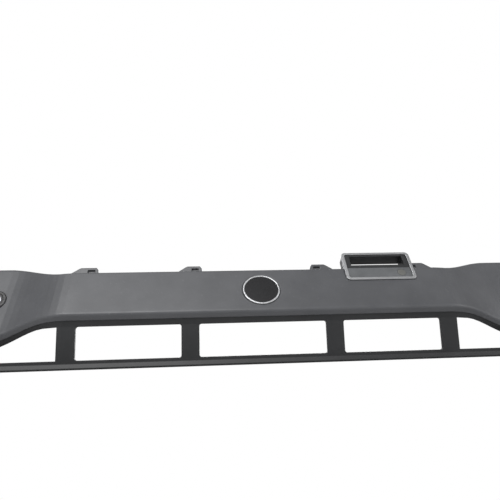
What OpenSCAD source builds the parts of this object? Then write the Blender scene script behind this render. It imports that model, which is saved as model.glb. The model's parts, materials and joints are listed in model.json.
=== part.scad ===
// Front bezel for a 2U rack server: a painted cover with swept-back wings, a black lower
// frame with uprights, a round badge, a display module with a push button, a key lock and
// a sprung release latch.
//
// +X is to the right as seen from the front, +Z is up and the front faces -Y. The origin is
// under the middle of the whole bezel, at the height of its bottom edge.

/* [Overall] */
// Width between the outer faces of the end walls
bezel_w = 443; // [430:1:460]
// Height of the wings and of the top tabs
bezel_h = 86.8; // [84:0.1:90]
// Distance from the ridge back to the plane that meets the server
bezel_d = 26; // [24:0.5:28]
// Distance from the ridge to the origin, half of the whole depth
front_to_origin = 17.7; // [16:0.1:20]

/* [Band] */
// Height of the ridge that runs along the lower edge of the band
ridge_z = 32.3; // [30:0.1:35]
// Height of the band's top edge in the middle
band_top = 71.3; // [68:0.1:74]
// Angle by which the band leans back
lean = 8; // [4:0.5:12]
// Thickness of the cover
wall = 2.4; // [2:0.1:3]
// Radius of the ridge
ridge_r = 2.8; // [2.6:0.1:3.4]
// Length of the flat under the ridge
under_lip = 3; // [2:0.1:4]

/* [Wings] */
// How far the wings sweep back
wing_sweep = 13.3; // [10:0.1:15]
// Distance from the middle at which the sweep starts
sweep_from = 140; // [136:1:146]
// Length over which the wings sweep back
sweep_run = 50; // [40:1:55]
// Distance from the middle at which the top edge starts to rise
rise_from = 146; // [142:1:150]
// Length over which the top edge rises
rise_run = 46; // [40:1:50]
// Distance from the middle at which the ridge starts to fall
fall_from = 153; // [148:1:158]
// Fall of the ridge for each millimetre further out
fall_slope = 0.38; // [0.3:0.01:0.4]
// Radius of the vertical corner at each end
end_r = 2.2; // [1:0.1:2.4]

/* [Lower frame] */
// Distance from the ridge back to the top edge of the openings
lip_back = 7; // [6:0.1:8]
// Distance from the ridge down to the top edge of the openings
lip_drop = 6; // [5.5:0.1:6.5]
// Distance from the middle to the inner uprights
post_in_x = 52.3; // [50:0.1:55]
// Distance from the middle to the outer uprights
post_out_x = 138.4; // [136:0.1:139]
// Width of an upright
post_w = 12.7; // [10:0.1:14]
// Thickness of the uprights
post_t = 2.6; // [2:0.1:3]
// Height of the bottom rail
rail_h = 5.7; // [5:0.1:7]
// Thickness of the bottom rail
rail_t = 2.8; // [2.4:0.1:3.4]
// Distance from the ridge back to the front of the bottom rail
rail_back = 17.4; // [16:0.1:18]
// Radius of the openings' corners
corner_r = 1.6; // [1:0.1:2.5]

/* [Badge] */
// Height of the badge's centre
badge_z = 51.4; // [48:0.1:54]
// Outer radius of the bright ring
badge_r = 13.9; // [12:0.1:15]
// Width of the bright ring
badge_rim = 1.4; // [1:0.1:2]
// Depth of the badge's seat in the cover
badge_seat = 1.2; // [1:0.1:1.4]

/* [Display module] */
// Distance from the middle to the module's centre
module_x = 94.5; // [90:0.1:98]
// Height of the module's lower edge
module_z = 59; // [57:0.1:61]
// Width of the silver frame
module_w = 55.4; // [50:0.1:60]
// Height of the silver frame, along its slope
module_h = 27.8; // [26:0.1:27.9]
// How far the module's lower edge stands out of the band
module_proud = 0.9; // [0.6:0.1:1.5]
// Angle by which the module leans back
module_lean = 6.5; // [4:0.5:8]
// Depth of the module's housing behind its front face
module_d = 8.5; // [8:0.1:10]
// Width of the silver frame's border at the sides
border = 2.3; // [2:0.1:3]
// Width of the display window
window_w = 43; // [40:0.5:44]
// Height of the display window
window_h = 9.2; // [8:0.1:9.6]
// Height of the label strip's top edge above the module's lower edge
strip_top = 12.1; // [11:0.1:13]
// Distance from the module's centre to the button
button_x = 17.2; // [15:0.1:19]
// Height of the button above the module's lower edge
button_y = 7; // [6.5:0.1:7.4]
// Radius of the button
button_r = 3.2; // [2.8:0.1:3.4]
// Travel of the button
button_travel = 0.8; // [0.6:0.1:0.9]

/* [Lock] */
// Distance from the middle to the key lock
lock_x = 197; // [194:0.5:200]
// Height of the key lock
lock_z = 55; // [50:0.5:60]
// Radius of the lock's rim
lock_rim_r = 9.3; // [9:0.1:10]
// Radius of the lock's threaded body
lock_body_r = 7.5; // [7:0.1:8]
// Radius of the turning plug
plug_r = 5.4; // [5:0.1:6]

/* [Latch and hooks] */
// Travel of the release latch
latch_travel = 4; // [3:0.5:4]
// How far the hooks reach past the end walls
hook_reach = 3.5; // [3:0.5:4]

/* [Hidden] */
$fn = 48;

eps = 0.02;
half_w = bezel_w / 2;
under_angle = 40;      // slope of the flat under the ridge
end_wall = 4;          // thickness of the cover's end walls
fit_gap = 0.15;        // gap between pieces that sit in each other
side_wall = 1.5;       // thickness of the module's side walls

// ---- shape of the cover ---------------------------------------------------------------

function smooth(t) = let (u = min(1, max(0, t))) u * u * (3 - 2 * u);

// Roundness of the vertical corner at each end, as a distance back from the face
function end_turn(ax) = let (u = max(0, ax - half_w + end_r))
    end_r - sqrt(max(0, end_r * end_r - u * u));

function sweep(ax) = wing_sweep * smooth((ax - sweep_from) / sweep_run) + end_turn(ax);

// The ridge bends down over 20 mm, then falls in a straight line
function fall(ax) = let (u = max(0, ax - fall_from))
    fall_slope * (u < 20 ? u * u / 40 : u - 10);

function ridge_at(ax) = ridge_z - fall(ax);
function top_at(ax) = band_top + (bezel_h - band_top) * smooth((ax - rise_from) / rise_run);

// Depth of the leaning face at distance ax from the middle and height z
function face_y(ax, z) = sweep(ax) + (z - ridge_z) * tan(lean);

// The ridge and the top edge are arcs that touch the leaning face
function arc_centre(ax, z, r) = [face_y(ax, z + r * sin(lean)) + r * cos(lean), z];
function on_arc(c, r, a) = c + r * [cos(a), sin(a)];

face_angle = 180 - lean;            // direction in which the leaning face looks
under_out = 180 + 90 - under_angle; // direction in which the flat under the ridge looks
under_way = [cos(under_angle), -sin(under_angle)];
top_r_mid = 1.2;                    // radius of the top edge in the middle
top_r_wing = 3.2;                   // and on the wings

function ridge_centre(ax) = arc_centre(ax, ridge_at(ax) + 1, ridge_r);
function top_r(ax) = top_r_mid + (top_r_wing - top_r_mid) * smooth((ax - rise_from) / rise_run);

// Section of the solid cover: the flat under the ridge, the ridge, the face, the top edge
// and the shelf behind it. The points are [back, up].
function cover_section(ax) = let (
        c = ridge_centre(ax),
        t = arc_centre(ax, top_at(ax) - top_r(ax), top_r(ax)),
        tip = on_arc(c, ridge_r, under_out) + under_lip * under_way,
        inner = c + under_lip * under_way
    ) concat(
        [tip],
        [for (i = [0 : 7]) on_arc(c, ridge_r, under_out + i * (face_angle - under_out) / 7)],
        [for (i = [0 : 5]) on_arc(t, top_r(ax), face_angle + i * (90 - face_angle) / 5)],
        [[bezel_d, top_at(ax)], [bezel_d, top_at(ax) - wall], inner]
    );

// Section of the hollow behind the cover's wall, which runs out past its open back
function hollow_section(ax) = let (
        c = ridge_centre(ax),
        r = ridge_r - wall,
        far = on_arc(c, r, under_out) + 14 * under_way,
        ceiling = top_at(ax) - wall
    ) concat(
        [for (i = [0 : 3]) on_arc(c, r, under_out + i * (face_angle - under_out) / 3)],
        [[face_y(ax, ceiling) + wall / cos(lean), ceiling],
         [bezel_d + 14, ceiling], [bezel_d + 14, far[1]], far]
    );

// Section of the black lip and of the web that stands behind the cover's face
web_gap = 3;
web_t = 2.2;
web_h = 13;
function lip_section(ax) = let (
        c = ridge_centre(ax),
        past = under_lip + fit_gap,
        lip = [sweep(ax) + lip_back, ridge_at(ax) - lip_drop + smooth((ax - rise_from) / 14)],
        w0 = ridge_at(ax) + 4,
        w1 = w0 + 1 + (web_h - 1) * (1 - smooth((ax - 172) / 10)),
        front = (wall + web_gap) / cos(lean)
    ) [
        on_arc(c, ridge_r - wall - fit_gap, under_out) + past * under_way,
        [face_y(ax, w0) + front, w0],
        [face_y(ax, w1) + front, w1],
        [face_y(ax, w1) + front + web_t, w1],
        [face_y(ax, w0) + front + web_t, w0],
        lip + [1.5, 1.9],
        lip,
        on_arc(c, ridge_r - 0.5, under_out) + past * under_way
    ];

// Distances from the middle at which sections are taken, closer where the shape turns
function stations(reach) = concat(
    [0, sweep_from - 4],
    [for (ax = [sweep_from : 5 : half_w - end_r - 1]) ax],
    [for (a = [0 : 18 : 72]) if (half_w - end_r + end_r * sin(a) < reach - 0.2)
        half_w - end_r + end_r * sin(a)],
    [reach]);
function both_sides(s) = concat([for (i = [len(s) - 1 : -1 : 1]) -s[i]], s);

// Solid through a row of [back, up] sections at the distances xs
module loft(xs, sections) {
    n = len(sections[0]);
    m = len(xs);
    points = [for (i = [0 : m - 1]) for (p = sections[i]) [xs[i], p[0], p[1]]];
    sides = [for (i = [0 : m - 2]) for (j = [0 : n - 1]) let (
            a = i * n + j,
            b = i * n + (j + 1) % n,
            c = b + n,
            d = a + n
        ) each [[a, b, c], [a, c, d]]];
    ends = [[for (j = [n - 1 : -1 : 0]) j], [for (j = [0 : n - 1]) (m - 1) * n + j]];
    polyhedron(points = points, faces = concat(sides, ends), convexity = 8);
}

module cover_solid() {
    xs = both_sides(stations(half_w));
    loft(xs, [for (x = xs) cover_section(abs(x))]);
}

module cover_hollow() {
    xs = both_sides(stations(half_w - end_wall));
    loft(xs, [for (x = xs) hollow_section(abs(x))]);
}

module lip_and_web() {
    xs = both_sides(stations(half_w - end_wall - fit_gap));
    loft(xs, [for (x = xs) lip_section(abs(x))]);
}

// ---- places ---------------------------------------------------------------------------

// Everything is drawn with the ridge at y = 0 and moved to the bezel's own origin
module bezel() { translate([0, -front_to_origin, 0]) children(); }

// A place on the leaning face, with +Z pointing out of it and +Y up along it
module on_face(x, z) {
    translate([x, face_y(abs(x), z), z]) rotate([90 - lean, 0, 0]) children();
}

// The middle of the display module's lower edge, in the same way
module in_module() {
    translate([module_x, face_y(module_x, module_z) - module_proud, module_z])
        rotate([90 - module_lean, 0, 0]) children();
}

// Slab of a section given as [back, up] points, between two distances along X
module slab(x0, x1, outline) {
    translate([x0, 0, 0]) rotate([90, 0, 90]) linear_extrude(x1 - x0) polygon(outline);
}

module rounded_rect(w, h, r) {
    square([w - 2 * r, h], center = true);
    square([w, h - 2 * r], center = true);
    for (x = [-1, 1], y = [-1, 1])
        translate([x * (w / 2 - r), y * (h / 2 - r)]) circle(r);
}

// A rounded plate in the module's own frame: y0 is its lower edge, z1 its front
module module_plate(w, y0, y1, r, z0, z1) {
    translate([0, (y0 + y1) / 2, z0]) linear_extrude(z1 - z0) rounded_rect(w, y1 - y0, r);
}

// Pan-head screw along -Z with the seat of its head at z = 0
module screw(r, length, head_r, head_h) {
    difference() {
        union() {
            cylinder(r = head_r, h = head_h);
            translate([0, 0, -length]) cylinder(r = r, h = length + eps);
        }
        for (a = [0, 90]) rotate(a)
            translate([-head_r * 0.6, -head_r * 0.12, head_h * 0.4])
                cube([head_r * 1.2, head_r * 0.24, head_h]);
    }
}

// ---- cover ----------------------------------------------------------------------------

tab_t = 2.4;
tab_front = 21.4;
tab_foot = band_top - 2;
inner_tab = [45.2, 57];     // distances from the middle of a tab's top corners
outer_tab = [126.6, 140.5];

// A tab at the back of the shelf, with a steep inner side and a long outer shoulder
module tab(side, span) {
    outline = [
        [span[0] - 2.6, tab_foot],
        [span[0] - 0.8, bezel_h - 2],
        [span[0] + 0.6, bezel_h],
        [span[1] - 1.4, bezel_h],
        [span[1], bezel_h - 0.7],
        [span[1] + 5.2, bezel_h - 4.5],
        [span[1] + 9, bezel_h - 8.5],
        [span[1] + 11, tab_foot]
    ];
    mirror([side < 0 ? 1 : 0, 0, 0])
        difference() {
            translate([0, tab_front + tab_t, 0]) rotate([90, 0, 0])
                linear_extrude(tab_t) polygon(outline);
            translate([span[0] + 1.6, tab_front - 1, bezel_h - 8.5]) cube([5.4, 2.4, 6.4]);
        }
    for (x = [span[0] + 0.5, span[1] + 5])
        slab(side * x - 0.8, side * x + 0.8, [
            [14, tab_foot + 1], [tab_front + 1, tab_foot + 1], [tab_front + 1, tab_foot + 8]]);
}

boss_x = [24, 80, 130];
boss_z = 44;
boss_r = 3;

// A hollow post behind the cover's wall; length is its reach behind the outer face
module cover_boss(x, z, length) {
    on_face(x, z) translate([0, 0, -length]) cylinder(r = boss_r, h = length - wall / 2);
}

module module_notch() {
    in_module() translate([0, 0, -module_d - 8])
        module_plate(module_w + 0.3, -0.15, module_h + 30, 3.5, 0, module_d + 20);
}

hook_z = [30, 62];
latch_slot = [21.5, 36];   // heights of the slot for the latch's tongue

module end_plate(side) {
    x0 = half_w - end_wall + 0.4;
    low = ridge_at(half_w) + 1;
    mirror([side < 0 ? 1 : 0, 0, 0])
        slab(x0, half_w, [
            [face_y(half_w, low) + 1, low],
            [bezel_d, low],
            [bezel_d, bezel_h - 1.5],
            [bezel_d - 1.5, bezel_h - 0.4],
            [face_y(half_w, bezel_h - 8) + 1, bezel_h - 8]]);
}

thumb_x = 209;
thumb_z = 33;
thumb_w = 8;
thumb_h = 9;

module face_cover() {
    bezel() color("#4b4d50")
        difference() {
            union() {
                difference() {
                    cover_solid();
                    cover_hollow();
                }
                for (side = [-1, 1]) {
                    end_plate(side);
                    tab(side, inner_tab);
                    tab(side, outer_tab);
                    for (x = boss_x) cover_boss(side * x, boss_z, wall + web_gap - 0.05);
                    // bosses for the latch guide on the left, the hook bracket on the right
                    for (p = end_screws) end_boss(side * p[0], p[1], bezel_d - 0.6);
                }
                for (z = contact_screw_z) end_boss(contact_x, z, contact_seat);
            }
            on_face(0, badge_z) {
                translate([0, 0, -badge_seat]) cylinder(r = badge_r + 0.4, h = badge_seat + 5);
                translate([0, 0, -wall - 2]) cylinder(r = 2.1, h = wall + 3);
            }
            module_notch();
            on_face(-lock_x, lock_z) translate([0, 0, -wall - 4])
                cylinder(r = lock_body_r + fit_gap, h = wall + 10);
            for (side = [-1, 1], x = boss_x)
                on_face(side * x, boss_z) translate([0, 0, -wall - web_gap - 1])
                    cylinder(r = 1.2, h = web_gap + 2);
            for (side = [-1, 1], p = end_screws) end_boss_hole(side * p[0], p[1], bezel_d);
            for (z = contact_screw_z) end_boss_hole(contact_x, z, contact_seat);
            // thumb window and tongue slot of the latch
            translate([-thumb_x - thumb_w / 2 - 1, 0, thumb_z - thumb_h / 2 - 1])
                cube([thumb_w + 2, bezel_d - 2, thumb_h + latch_travel + 2]);
            translate([-half_w - 1, bezel_d - 4.4, latch_slot[0]])
                cube([end_wall + 3, 3.4, latch_slot[1] - latch_slot[0]]);
            for (z = hook_z) translate([half_w - end_wall - 2, bezel_d - 4.4, z - 5.4])
                cube([end_wall + 3, 3.4, 10.8]);
        }
}

// ---- lower frame ----------------------------------------------------------------------

lip_z = ridge_z - lip_drop;
post_slope = atan2(rail_back - lip_back, lip_z - rail_h);
post_len = norm([rail_back - lip_back, lip_z - rail_h]);
plate_half = post_out_x + post_w / 2;

// Plate of the uprights, drawn flat with +Y up along it and its front at z = 0
module post_plate() {
    mid = post_in_x - post_w / 2;
    gap0 = post_in_x + post_w / 2;
    gap1 = post_out_x - post_w / 2;
    translate([0, lip_back, lip_z]) rotate([90 + post_slope, 0, 0])
        translate([0, 0, -post_t]) {
            linear_extrude(post_t) difference() {
                translate([-plate_half, -post_len - 2]) square([2 * plate_half, post_len + 3.5]);
                translate([0, -post_len / 2]) rounded_rect(2 * mid, post_len, corner_r);
                for (side = [-1, 1]) translate([side * (gap0 + gap1) / 2, -post_len / 2])
                    rounded_rect(gap1 - gap0, post_len, corner_r);
            }
            // stiffening ribs on the back of the uprights
            for (x = [-post_out_x, -post_in_x, post_in_x, post_out_x])
                translate([x - 1, -post_len - 0.5, -2.6]) cube([2, post_len + 1, 2.8]);
        }
}

rail_outline = [
    [rail_back, rail_h],
    [rail_back + 1, rail_h - 2],
    [rail_back + 1, 0.5],
    [rail_back + 1.4, 0],
    [rail_back + rail_t, 0],
    [rail_back + rail_t, rail_h - 0.4],
    [rail_back + rail_t - 0.4, rail_h]
];
foot_x0 = 207;

module lower_frame() {
    bezel() color("#1a1b1d")
        difference() {
            union() {
                lip_and_web();
                post_plate();
                slab(-half_w + 1, half_w - 1, rail_outline);
                // feet that close the outer ends and meet the server
                for (side = [-1, 1]) mirror([side < 0 ? 1 : 0, 0, 0]) {
                    slab(foot_x0, half_w - 1, [
                        [rail_back + 1.6, 1], [bezel_d, 0.4], [bezel_d, 9.8],
                        [rail_back + 3, 10.4], [rail_back + 1.6, 8.5]]);
                }
            }
            for (side = [-1, 1], x = boss_x)
                on_face(side * x, boss_z) translate([0, 0, -20])
                    cylinder(r = 1.5, h = 20);
        }
}

// ---- badge ----------------------------------------------------------------------------

module badge_ring() {
    bezel() color("#c9cacc") on_face(0, badge_z)
        rotate_extrude() polygon([
            [badge_r - badge_rim, -badge_seat + 0.05],
            [badge_r, -badge_seat + 0.05],
            [badge_r, 0.35],
            [badge_r - 0.35, 0.7],
            [badge_r - badge_rim + 0.3, 0.7],
            [badge_r - badge_rim, 0.4]
        ]);
}

module badge_disc() {
    r = badge_r - badge_rim - 0.05;
    bezel() color("#202124") on_face(0, badge_z) {
        translate([0, 0, -badge_seat + 0.05]) cylinder(r = r, h = badge_seat + 0.1);
        translate([0, 0, -wall - 1.2]) cylinder(r = 2, h = wall);
    }
}

// ---- display module -------------------------------------------------------------------

frame_t = 2.2;
inner_w = module_w - 2 * border;
inner_y0 = 2.2;
inner_y1 = module_h - 1.8;
window_y = (strip_top + 3 + inner_y1 - 1.7) / 2;
tunnel_t = 1.2;

module window_frame() {
    bezel() color("#c3c4c6") in_module()
        difference() {
            module_plate(module_w, 0, module_h, 3.4, -frame_t, 0);
            module_plate(inner_w, inner_y0, inner_y1, 1.6, -frame_t - 1, 1);
        }
}

module window_cut(extra, z0, z1) {
    translate([0, window_y, z0]) linear_extrude(z1 - z0)
        square([window_w + 2 * extra, window_h + 2 * extra], center = true);
}

module_screw_x = 24.6;
module_screw_y = [4.4, module_h - 3.6];

module module_housing() {
    bezel() color("#4b4d50") in_module()
        difference() {
            union() {
                module_plate(module_w - 0.6, 0.3, module_h - 0.3, 3.1, -module_d,
                    -frame_t - 0.02);
                // flange behind the cover's wall
                module_plate(module_w + 5, -2.4, 8.6, 1, -5.4, -3.9);
            }
            difference() {
                module_plate(module_w - 0.6 - 2 * side_wall, 0.3 + side_wall,
                    module_h - 0.3 - 1.2, 1.8, -module_d - 1, -frame_t - 1.2);
                for (x = [-1, 1], y = module_screw_y)
                    translate([x * module_screw_x, y, -module_d]) cylinder(r = 1.7, h = 3);
            }
            module_plate(inner_w - 3, inner_y0 + 0.2, inner_y1 - 0.3, 1.2, -frame_t - 3, 1);
            for (x = [-1, 1], y = module_screw_y)
                translate([x * module_screw_x, y, -module_d - 1]) cylinder(r = 0.9, h = 3.6);
        }
}

// Black surround of the window with the tunnel that the server's display is seen through
module display_shroud() {
    bezel() color("#141518") in_module()
        difference() {
            union() {
                module_plate(inner_w - 0.2, strip_top, inner_y1 - 0.1, 1.2, -frame_t, -0.6);
                window_cut(tunnel_t, -module_d - 1.6, -1);
            }
            window_cut(0, -module_d - 3, 1);
        }
}

module label_strip() {
    bezel() color("#5d5f60") in_module()
        difference() {
            union() {
                module_plate(inner_w - 0.2, inner_y0 + 0.1, strip_top - 0.05, 1.4,
                    -frame_t, -0.6);
                translate([-inner_w / 2 + 0.1, strip_top - 2, -frame_t])
                    cube([inner_w - 0.2, 1.9, frame_t - 0.6]);
                // posts that carry the board
                for (x = board_screw_x)
                    translate([x, 6, board_z + board_t + 0.03])
                        cylinder(r = 1.8, h = -frame_t + 0.2 - board_z - board_t);
            }
            translate([button_x, button_y, -3]) cylinder(r = button_r + 0.12, h = 4);
            for (x = board_screw_x) translate([x, 6, board_z]) cylinder(r = 0.95, h = 4.4);
        }
}

module push_button() {
    bezel() color("#6a6b68") in_module() translate([button_x, button_y, 0]) {
        translate([0, 0, -2.6]) cylinder(r = button_r, h = 2.1);
        translate([0, 0, -3]) cylinder(r = button_r + 0.9, h = 0.6);
        translate([0, 0, -3.5]) cylinder(r = 1.2, h = 0.9);
    }
}

board_z = -6.4;
board_t = 1;
board_screw_x = [-20, 6];

module button_board() {
    bezel() color("#2f5a3c") in_module() {
        difference() {
            module_plate(44, 2.6, 13.4, 1, board_z, board_z + board_t);
            for (x = board_screw_x)
                translate([x, 6, board_z - 1]) cylinder(r = 1.1, h = 3);
        }
        for (x = [-12, -3]) translate([x, 7, board_z + board_t - eps])
            cube([5.5, 3.5, 1.1]);
    }
}

module tact_switch() {
    bezel() color("#8d8f92") in_module() translate([button_x, button_y, board_z + board_t]) {
        translate([-2.2, -2.2, 0.02]) cube([4.4, 4.4, 0.6]);
        cylinder(r = 1, h = 0.9);
    }
}

module board_screws() {
    bezel() color("#9a9da1") in_module()
        for (x = board_screw_x) translate([x, 6, board_z])
            rotate([180, 0, 0]) screw(0.85, 3.4, 1.8, 1);
}

back_z = -module_d - 1.3;
cable_slot_x = 20;

module module_back() {
    bezel() color("#222326") in_module()
        difference() {
            module_plate(module_w - 1.6, 0.8, module_h - 0.8, 2.4, back_z, -module_d - 0.05);
            window_cut(tunnel_t + 0.1, back_z - 1, 0);
            for (x = [-1, 1], y = module_screw_y)
                translate([x * module_screw_x, y, back_z - 1]) cylinder(r = 1.1, h = 4);
            translate([cable_slot_x - 0.6, 2.9, back_z - 1]) cube([1.2, 6.8, 4]);
        }
}

module module_screws() {
    bezel() color("#9a9da1") in_module()
        for (x = [-1, 1], y = module_screw_y)
            translate([x * module_screw_x, y, back_z])
                rotate([180, 0, 0]) screw(0.85, 3.2, 1.6, 0.9);
}

// ---- contacts on the right ------------------------------------------------------------

contact_x = 196;
contact_z = 66;
contact_seat = 22.3;                // depth at which the block's flange starts
contact_screw_z = [58, 74];
pin_pitch = 2.6;

module contact_block() {
    bezel() color("#1b1c1e")
        difference() {
            union() {
                translate([contact_x - 5, contact_seat + 0.05, contact_z - 11])
                    cube([10, 1.9, 22]);
                translate([contact_x - 6, 21.65, contact_z - 4]) cube([12, 4.35, 8]);
            }
            for (z = contact_screw_z) translate([contact_x, 20, z])
                rotate([-90, 0, 0]) cylinder(r = 1.3, h = 8);
            for (i = [-1.5 : 1 : 1.5]) translate([contact_x + i * pin_pitch, 22.3, contact_z])
                rotate([-90, 0, 0]) cylinder(r = 0.65, h = 8);
        }
}

module contact_pins() {
    bezel() color("#c9a44c")
        for (i = [-1.5 : 1 : 1.5]) translate([contact_x + i * pin_pitch, 22.35, contact_z])
            rotate([-90, 0, 0]) {
                cylinder(r = 0.6, h = 4.6);
                cylinder(r = 0.45, h = 5.4);
            }
}

module contact_screws() {
    bezel() color("#9a9da1")
        for (z = contact_screw_z) translate([contact_x, contact_seat + 2, z])
            rotate([-90, 0, 0]) screw(1.1, 3.6, 2.1, 1.1);
}

// Middle line of the ribbon inside the cover, as [right, back]
cable_x = module_x + cable_slot_x;
cable_route = [[cable_x, 10.4], [cable_x, 13.8], [cable_x + 0.6, 15.2], [cable_x + 2.1, 16],
    [134, 16.4], [146, 16.8], [158, 17.8], [170, 19.2], [180, 20.8], [186, 21.3], [191.5, 21.4]];
cable_t = 0.4;
cable_w = 5;
cable_z = 62.5;

function beside(i) = let (
        a = cable_route[max(0, i - 1)],
        b = cable_route[min(len(cable_route) - 1, i + 1)],
        d = (b - a) / norm(b - a)
    ) cable_t / 2 * [-d[1], d[0]];

module flat_cable() {
    last = len(cable_route) - 1;
    back = [for (i = [0 : last]) cable_route[i] + beside(i)];
    front = [for (i = [last : -1 : 0]) cable_route[i] - beside(i)];
    bezel() color("#b9b7ad")
        translate([0, 0, cable_z]) linear_extrude(cable_w) polygon(concat(back, front));
}

// ---- screws of the lower frame --------------------------------------------------------

module frame_screws() {
    bezel() color("#9a9da1")
        for (side = [-1, 1], x = boss_x)
            on_face(side * x, boss_z) translate([0, 0, -wall - web_gap - web_t - 0.05])
                rotate([180, 0, 0]) screw(1.1, 4.6, 2.3, 1.3);
}

// ---- lock -----------------------------------------------------------------------------

body_len = 14;
cam_t = 1.8;
nut_z = -wall - 0.1;

module lock_barrel() {
    bezel() color("#26272a") on_face(-lock_x, lock_z)
        difference() {
            union() {
                rotate_extrude() polygon([
                    [0, 0.05], [lock_rim_r, 0.05], [lock_rim_r, 0.5], [lock_rim_r - 0.5, 1],
                    [lock_rim_r - 2.2, 1], [lock_rim_r - 2.6, 0.6], [0, 0.6]]);
                translate([0, 0, -body_len]) cylinder(r = lock_body_r, h = body_len + 0.2);
            }
            translate([0, 0, -body_len - 1]) cylinder(r = plug_r + 0.05, h = body_len + 5);
        }
}

module lock_plug() {
    bezel() color("#8b8d90") on_face(-lock_x, lock_z)
        difference() {
            union() {
                translate([0, 0, -body_len - 0.1]) cylinder(r = plug_r, h = body_len + 0.5);
                translate([0, 0, -body_len - cam_t - 0.2])
                    intersection() {
                        cylinder(r = 3, h = cam_t + 0.3);
                        translate([-2.2, -5, 0]) cube([4.4, 10, cam_t + 1]);
                    }
            }
            translate([-0.7, -3.4, -8]) cube([1.4, 6.8, 12]);
            translate([0, 0, -body_len - cam_t - 1]) cylinder(r = 1.3, h = 7);
        }
}

module lock_nut() {
    bezel() color("#a4a6a9") on_face(-lock_x, lock_z) translate([0, 0, nut_z - 3.2])
        difference() {
            cylinder(r = 11, h = 3.2, $fn = 6);
            translate([0, 0, -1]) cylinder(r = lock_body_r + 0.06, h = 6);
        }
}

module lock_cam() {
    bezel() color("#a4a6a9") on_face(-lock_x, lock_z)
        translate([0, 0, -body_len - cam_t - 0.15])
            difference() {
                union() {
                    cylinder(r = 6.5, h = cam_t);
                    translate([-4, 0, 0]) cube([8, 17, cam_t]);
                    translate([0, 17, 0]) cylinder(r = 4, h = cam_t);
                }
                intersection() {
                    translate([0, 0, -1]) cylinder(r = 3.06, h = 5);
                    translate([-2.26, -5, -1]) cube([4.52, 10, 5]);
                }
            }
}

module cam_screw() {
    bezel() color("#9a9da1") on_face(-lock_x, lock_z)
        translate([0, 0, -body_len - cam_t - 0.25]) rotate([180, 0, 0])
            screw(1.2, 5, 3.6, 1.6);
}

// ---- latch on the left ----------------------------------------------------------------

end_screws = [[213, 50.5], [190, 40]];   // [distance from the middle, height]
latch_y = bezel_d - 4.2;                 // front of the latch's plate
latch_t = 2.4;
latch_z = 22;
latch_h = 18;
thumb_front = 14.6;

// Boss from the cover's wall back to depth y1, at x and height z
module end_boss(x, z, y1) {
    y0 = face_y(abs(x), z) + wall / 2;
    translate([x, y0, z]) rotate([-90, 0, 0]) cylinder(r = 2.6, h = y1 - y0);
}

module end_boss_hole(x, z, y1) {
    y0 = max(y1 - 5, face_y(abs(x), z) + 1.2);
    translate([x, y0, z]) rotate([-90, 0, 0]) cylinder(r = 1.2, h = y1 - y0 + 4);
}

spring_x = -203.5;
spring_r = 1.7;
spring_low = latch_z + 10;
spring_high = spring_low + 9;
lug_w = 5.2;

// Sliding plate with a thumb pad in front and a hooked tongue through the end wall
module release_latch() {
    mid_y = latch_y + latch_t / 2;
    pad_w = thumb_w - 0.8;
    pad_h = thumb_h - 0.8;
    bezel() color("#303236") {
        difference() {
            translate([-half_w + end_wall + 0.4, latch_y, latch_z]) cube([20.5, latch_t, latch_h]);
            translate([spring_x - lug_w / 2 - 0.3, latch_y - 1, spring_low])
                cube([lug_w + 0.6, latch_t + 2, latch_h]);
        }
        // tongue and its hook
        translate([-half_w - hook_reach, latch_y, latch_z + 2])
            cube([hook_reach + end_wall + 1, latch_t, 7]);
        translate([-half_w - hook_reach, latch_y, latch_z]) cube([1.8, latch_t, 4]);
        // stem and ribbed thumb pad
        translate([-thumb_x - 2.5, 18.6, thumb_z - 3]) cube([5, latch_y - 18.6 + eps, 6]);
        translate([-thumb_x - pad_w / 2, thumb_front, thumb_z - pad_h / 2])
            cube([pad_w, 18.8 - thumb_front, pad_h]);
        for (i = [-2 : 2]) translate([-thumb_x, thumb_front + 0.1, thumb_z + i * 1.5])
            rotate([0, 90, 0]) cylinder(r = 0.45, h = thumb_w - 2, center = true, $fn = 24);
        // seat of the spring
        translate([spring_x, mid_y, spring_low - 1.4]) cylinder(r = 0.9, h = 3.4);
    }
}

wire_r = 0.3;
spring_turns = 6;

// Wire swept along a helix between the latch and the guide
module latch_spring() {
    n = 14;
    k = 6;
    rings = spring_turns * n;
    rise = spring_high - spring_low - 2 * wire_r;
    points = [for (i = [0 : rings]) let (a = 360 * i / n) for (j = [0 : k - 1])
        let (b = 360 * j / k, r = spring_r + wire_r * cos(b))
            [r * cos(a), r * sin(a), wire_r + rise * i / rings + wire_r * sin(b)]];
    sides = [for (i = [0 : rings - 1]) for (j = [0 : k - 1]) let (
            p = i * k + j, q = i * k + (j + 1) % k)
        each [[p, q, q + k], [p, q + k, p + k]]];
    ends = [[for (j = [k - 1 : -1 : 0]) j], [for (j = [0 : k - 1]) rings * k + j]];
    bezel() color("#c2c4c6") translate([spring_x, latch_y + latch_t / 2, spring_low])
        polyhedron(points = points, faces = concat(sides, ends), convexity = 10);
}

plate_t = 1.2;
plate_y = bezel_d - 0.55;
plate_low = 24;
plate_w = 30.3;
plate_h = 30.5;

// Two screws through the plate behind each end
module end_plate_screws(side) {
    for (p = end_screws) translate([side * p[0], plate_y + plate_t + 0.05, p[1]])
        rotate([-90, 0, 0]) screw(1.1, 5, 2.3, 1.2);
}

module end_plate_holes(side) {
    for (p = end_screws) translate([side * p[0], plate_y - 3, p[1]])
        rotate([-90, 0, 0]) cylinder(r = 1.4, h = 8);
}

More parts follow.
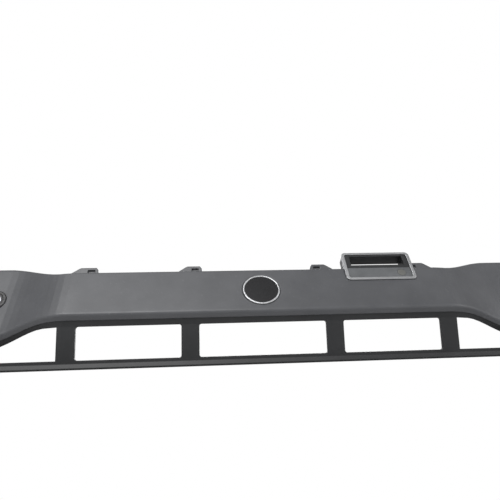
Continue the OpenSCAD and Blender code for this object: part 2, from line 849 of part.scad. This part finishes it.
module latch_guide() {
    bezel() color("#8f9296")
        difference() {
            union() {
                translate([-half_w + end_wall + 0.2, plate_y, plate_low])
                    cube([plate_w, plate_t, plate_h]);
                // lug that holds the spring's upper end
                translate([spring_x - lug_w / 2, latch_y - 0.6, spring_high + 0.02])
                    cube([lug_w, plate_y - latch_y + 0.8, 1.4]);
            }
            end_plate_holes(-1);
            // room for the lock
            translate([-lock_x, plate_y - 3, lock_z - 1.3]) rotate([-90, 0, 0])
                cylinder(r = lock_body_r + 1.2, h = 8);
        }
}

module guide_screws() {
    bezel() color("#9a9da1") end_plate_screws(-1);
}

// ---- hooks on the right ---------------------------------------------------------------

module hook_bracket() {
    inner = half_w - end_wall;
    bezel() color("#a4a6a9")
        difference() {
            union() {
                translate([inner - plate_w - 0.2, plate_y, plate_low])
                    cube([plate_w, plate_t, plate_h]);
                translate([inner - 8.4, plate_y, 40]) cube([8.2, plate_t, 28]);
                for (z = hook_z) {
                    translate([inner - 6, plate_y - 2, z - 4]) cube([5.8, 2.2, 8]);
                    translate([inner - 2, plate_y - 2, z - 4])
                        cube([end_wall + 2 + hook_reach, 1.4, 8]);
                    translate([half_w + hook_reach - 1.4, plate_y - 2, z - 5.2])
                        cube([1.4, 1.4, 2]);
                }
            }
            end_plate_holes(1);
        }
}

module hook_screws() {
    bezel() color("#9a9da1") end_plate_screws(1);
}

face_cover();
lower_frame();
badge_ring();
badge_disc();
window_frame();
module_housing();
display_shroud();
label_strip();
push_button();
button_board();
tact_switch();
board_screws();
module_back();
module_screws();
flat_cable();
contact_block();
contact_pins();
contact_screws();
frame_screws();
lock_barrel();
lock_plug();
lock_nut();
lock_cam();
cam_screw();
release_latch();
latch_spring();
latch_guide();
guide_screws();
hook_bracket();
hook_screws();
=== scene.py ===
import json

import bpy
from mathutils import Matrix, Vector

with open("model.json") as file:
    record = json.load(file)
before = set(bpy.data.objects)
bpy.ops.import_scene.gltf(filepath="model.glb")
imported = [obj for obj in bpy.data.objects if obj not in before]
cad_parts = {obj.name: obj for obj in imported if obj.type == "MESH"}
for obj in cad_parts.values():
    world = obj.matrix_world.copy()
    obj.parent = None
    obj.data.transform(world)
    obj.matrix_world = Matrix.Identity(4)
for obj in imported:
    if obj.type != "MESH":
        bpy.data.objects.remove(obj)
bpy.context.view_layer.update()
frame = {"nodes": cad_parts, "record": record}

MM = 0.001
WHITE = (1, 1, 1, 1)
BLACK = (0, 0, 0, 1)


# ---- colours --------------------------------------------------------------------------

def linear(v):
    """A written colour value, 0 to 255, as the linear value that a shader takes."""
    c = v / 255
    return c / 12.92 if c <= 0.04045 else ((c + 0.055) / 1.055) ** 2.4


def colour(r, g, b):
    return (linear(r), linear(g), linear(b), 1)


def grey(value):
    return (value, value, value, 1)


# ---- material helper ------------------------------------------------------------------

NOISE_DETAIL = 3.0
FINE_DETAIL = 2.0
NOISE_ROUGHNESS = 0.6
BEVEL_SAMPLES = 6
GRAIN_DEPTH = 0.08 * MM
DARK_AT, BASE_AT, LIGHT_AT = 0.3, 0.5, 0.72   # where a wandering colour is each of these
SMOOTH_AT, ROUGH_AT = 0.3, 0.7                # and where a surface is smooth or rough


class Shader:
    """A material with a Principled shader and a few helpers for its nodes."""

    def __init__(self, name, base, rough, metal=0.0):
        self.mat = bpy.data.materials.new(name)
        self.mat.use_nodes = True
        self.tree = self.mat.node_tree
        self.bsdf = self.tree.nodes["Principled BSDF"]
        self.bsdf.inputs["Base Color"].default_value = base
        self.bsdf.inputs["Roughness"].default_value = rough
        self.bsdf.inputs["Metallic"].default_value = metal

    def node(self, kind, **inputs):
        made = self.tree.nodes.new(kind)
        for key, value in inputs.items():
            made.inputs[key].default_value = value
        return made

    def link(self, a, b):
        self.tree.links.new(a, b)

    def feed(self, socket, output):
        self.link(output, self.bsdf.inputs[socket])

    def noise(self, scale, detail=NOISE_DETAIL, stretch=None):
        place = self.node("ShaderNodeTexCoord").outputs["Object"]
        if stretch:
            mapping = self.node("ShaderNodeMapping", Scale=stretch)
            self.link(place, mapping.inputs["Vector"])
            place = mapping.outputs["Vector"]
        made = self.node("ShaderNodeTexNoise", Scale=scale, Detail=detail,
                         Roughness=NOISE_ROUGHNESS)
        self.link(place, made.inputs["Vector"])
        return made.outputs["Fac"]

    def ramp(self, fac, stops):
        made = self.node("ShaderNodeValToRGB")
        elements = made.color_ramp.elements
        while len(elements) < len(stops):
            elements.new(0.5)
        for element, (position, value) in zip(elements, stops):
            element.position = position
            element.color = value
        self.link(fac, made.inputs["Fac"])
        return made.outputs["Color"]

    def mix(self, fac, under, over):
        """The colour under with the plain colour over it, by fac."""
        made = self.node("ShaderNodeMix")
        made.data_type = "RGBA"
        a, b = [i for i in made.inputs if i.type == "RGBA"]
        self.link(under, a)
        b.default_value = over
        self.link(fac, made.inputs[0])
        return [o for o in made.outputs if o.type == "RGBA"][0]

    def wander(self, dark, base, light, scale):
        """A colour that wanders a little between dark and light."""
        return self.ramp(self.noise(scale),
                         [(DARK_AT, dark), (BASE_AT, base), (LIGHT_AT, light)])

    def vary_roughness(self, noise, low, high):
        stops = [(SMOOTH_AT, grey(low)), (ROUGH_AT, grey(high))]
        self.feed("Roughness", self.ramp(noise, stops))

    def rounded(self, radius):
        """Normals with which edges catch the light as if rounded."""
        made = self.node("ShaderNodeBevel", Radius=radius)
        made.samples = BEVEL_SAMPLES
        return made.outputs["Normal"]

    def grain(self, scale, strength, edge):
        """Fine moulded grain over softly rounded edges."""
        made = self.node("ShaderNodeBump", Strength=strength, Distance=GRAIN_DEPTH)
        self.link(self.noise(scale, FINE_DETAIL), made.inputs["Height"])
        self.link(self.rounded(edge), made.inputs["Normal"])
        self.feed("Normal", made.outputs["Normal"])


# ---- materials ------------------------------------------------------------------------

def cover_paint():
    """Dark grey paint with fine dust and rub marks from handling."""
    dust_amount = 0.16
    base = colour(74, 75, 78)
    s = Shader("grey_cover", base, rough=0.42)
    paint = s.wander(colour(70, 71, 74), base, colour(79, 80, 83), scale=34.0)
    specks = s.ramp(s.noise(420.0, FINE_DETAIL), [(0.66, BLACK), (0.76, WHITE)])
    faint = s.node("ShaderNodeMath")
    faint.operation = "MULTIPLY"
    faint.inputs[1].default_value = dust_amount
    s.link(specks, faint.inputs[0])
    s.feed("Base Color", s.mix(faint.outputs[0], paint, colour(126, 127, 130)))
    s.vary_roughness(s.noise(48.0), 0.36, 0.5)
    s.grain(scale=2600.0, strength=0.25, edge=1.1 * MM)
    return s.mat


def plastic(name, base, rough=0.5):
    """Moulded plastic whose colour wanders a little about its base."""
    s = Shader(name, base, rough)
    light = tuple(min(1.0, c * 1.35 + 0.001) for c in base[:3]) + (1,)
    dark = tuple(c * 0.8 for c in base[:3]) + (1,)
    s.feed("Base Color", s.wander(dark, base, light, scale=40.0))
    s.grain(scale=2400.0, strength=0.3, edge=0.6 * MM)
    return s.mat


def metal(name, base, rough=0.3, stretch=None, edge=0.3 * MM):
    """Bare metal whose polish varies a little; stretch draws that out as brushing."""
    s = Shader(name, base, rough, metal=1.0)
    s.vary_roughness(s.noise(900.0, stretch=stretch), rough * 0.8, rough * 1.25)
    s.feed("Normal", s.rounded(edge))
    return s.mat


BRUSHED = (1, 8, 1)

MATERIALS = {
    "grey_cover": cover_paint(),
    "black_frame": plastic("black_frame", colour(27, 28, 30)),
    "bright_trim": metal("bright_trim", colour(196, 197, 199), 0.34, edge=0.5 * MM),
    "black_gloss": plastic("black_gloss", colour(24, 24, 26), 0.24),
    "grey_strip": plastic("grey_strip", colour(88, 90, 92), 0.45),
    "button_grey": plastic("button_grey", colour(98, 98, 95), 0.4),
    "board_green": plastic("board_green", colour(28, 84, 50), 0.35),
    "switch_metal": metal("switch_metal", colour(176, 178, 180), 0.35),
    "screw_steel": metal("screw_steel", colour(170, 172, 176), 0.32),
    "ribbon": plastic("ribbon", colour(186, 183, 172), 0.4),
    "contact_brass": metal("contact_brass", colour(214, 176, 96), 0.25),
    "lock_black": plastic("lock_black", colour(28, 28, 30), 0.34),
    "lock_metal": metal("lock_metal", colour(150, 152, 155)),
    "plated_steel": metal("plated_steel", colour(172, 174, 178), 0.36, BRUSHED),
    "latch_black": plastic("latch_black", colour(34, 35, 38), 0.45),
    "spring_steel": metal("spring_steel", colour(190, 192, 195), 0.25),
}

slots = {part["node"]: part["material_slot"] for part in frame["record"]["subparts"]}
for name, obj in frame["nodes"].items():
    obj.data.materials.clear()
    obj.data.materials.append(MATERIALS[slots[name]])


# ---- floor ----------------------------------------------------------------------------

FLOOR_SIZE = 8
FLOOR_GAP = 0.4 * MM       # keeps the floor clear of the part's own underside
FLOOR_COLOUR = grey(0.86)


def floor_material():
    """Pale floor that shows only its upper side, so a view from below looks through it."""
    mat = bpy.data.materials.new("pale_floor")
    mat.use_nodes = True
    tree = mat.node_tree
    tree.nodes.clear()
    surface = tree.nodes.new("ShaderNodeOutputMaterial")
    top = tree.nodes.new("ShaderNodeBsdfDiffuse")
    top.inputs["Color"].default_value = FLOOR_COLOUR
    clear = tree.nodes.new("ShaderNodeBsdfTransparent")
    side = tree.nodes.new("ShaderNodeNewGeometry")
    pick = tree.nodes.new("ShaderNodeMixShader")
    tree.links.new(side.outputs["Backfacing"], pick.inputs["Fac"])
    tree.links.new(top.outputs[0], pick.inputs[1])
    tree.links.new(clear.outputs[0], pick.inputs[2])
    tree.links.new(pick.outputs[0], surface.inputs["Surface"])
    return mat


bpy.ops.mesh.primitive_plane_add(size=FLOOR_SIZE, location=(0, 0, -FLOOR_GAP))
floor = bpy.context.object
floor.name = "floor"
floor.data.materials.append(floor_material())


# ---- light ----------------------------------------------------------------------------

scene = bpy.context.scene
scene.view_settings.view_transform = "Standard"

SOFT_LIGHT = 0.32
BACKDROP = 1.0             # a strength of 1 shows as white
LAMP_AIM = (0, 0, 0.04)


def studio():
    """Soft light all round, in front of a backdrop that the camera sees as white."""
    world = bpy.data.worlds.new("studio")
    world.use_nodes = True
    tree = world.node_tree
    tree.nodes.clear()
    surface = tree.nodes.new("ShaderNodeOutputWorld")
    path = tree.nodes.new("ShaderNodeLightPath")
    pick = tree.nodes.new("ShaderNodeMixShader")
    tree.links.new(path.outputs["Is Camera Ray"], pick.inputs["Fac"])
    for socket, strength in ((1, SOFT_LIGHT), (2, BACKDROP)):
        background = tree.nodes.new("ShaderNodeBackground")
        background.inputs["Color"].default_value = WHITE
        background.inputs["Strength"].default_value = strength
        tree.links.new(background.outputs[0], pick.inputs[socket])
    tree.links.new(pick.outputs[0], surface.inputs["Surface"])
    return world


def lamp(name, place, size, power):
    """Rectangular softbox that looks at the part."""
    data = bpy.data.lights.new(name, "AREA")
    data.shape = "RECTANGLE"
    data.size, data.size_y = size
    data.energy = power
    obj = bpy.data.objects.new(name, data)
    scene.collection.objects.link(obj)
    obj.location = place
    way = Vector(LAMP_AIM) - Vector(place)
    obj.rotation_euler = way.to_track_quat("-Z", "Y").to_euler()


scene.world = studio()
lamp("key", place=(-0.5, -1.5, 0.9), size=(1.2, 0.8), power=26)
lamp("fill", place=(1.3, -1.0, 0.5), size=(0.8, 0.8), power=6)
lamp("back", place=(0.4, 1.5, 1.2), size=(1.2, 0.8), power=16)


# ---- camera ---------------------------------------------------------------------------

# The camera was measured with the ridge at y = 0; the part's origin is further back
FRONT_TO_ORIGIN = 17.7 * MM
CAMERA_FROM_RIDGE = Vector((-0.039727, -0.307626, -0.148359))
CAMERA_RIGHT = Vector((0.99623762, -0.06028312, -0.06226192))
CAMERA_DOWN = Vector((-0.01287329, 0.6075234, -0.79419745))
CAMERA_FORWARD = Vector((0.08570227, 0.7920109, 0.60446163))
SENSOR_WIDTH = 36
LENS = 35.84
CLIP_START = 0.01

cam_data = bpy.data.cameras.new("camera")
cam_data.sensor_width = SENSOR_WIDTH
cam_data.lens = LENS
cam_data.clip_start = CLIP_START
cam = bpy.data.objects.new("camera", cam_data)
scene.collection.objects.link(cam)
turn = Matrix((CAMERA_RIGHT, -CAMERA_DOWN, -CAMERA_FORWARD)).transposed().to_4x4()
place = CAMERA_FROM_RIDGE - Vector((0, FRONT_TO_ORIGIN, 0))
cam.matrix_world = Matrix.Translation(place) @ turn
scene.camera = cam

bpy.context.view_layer.update()
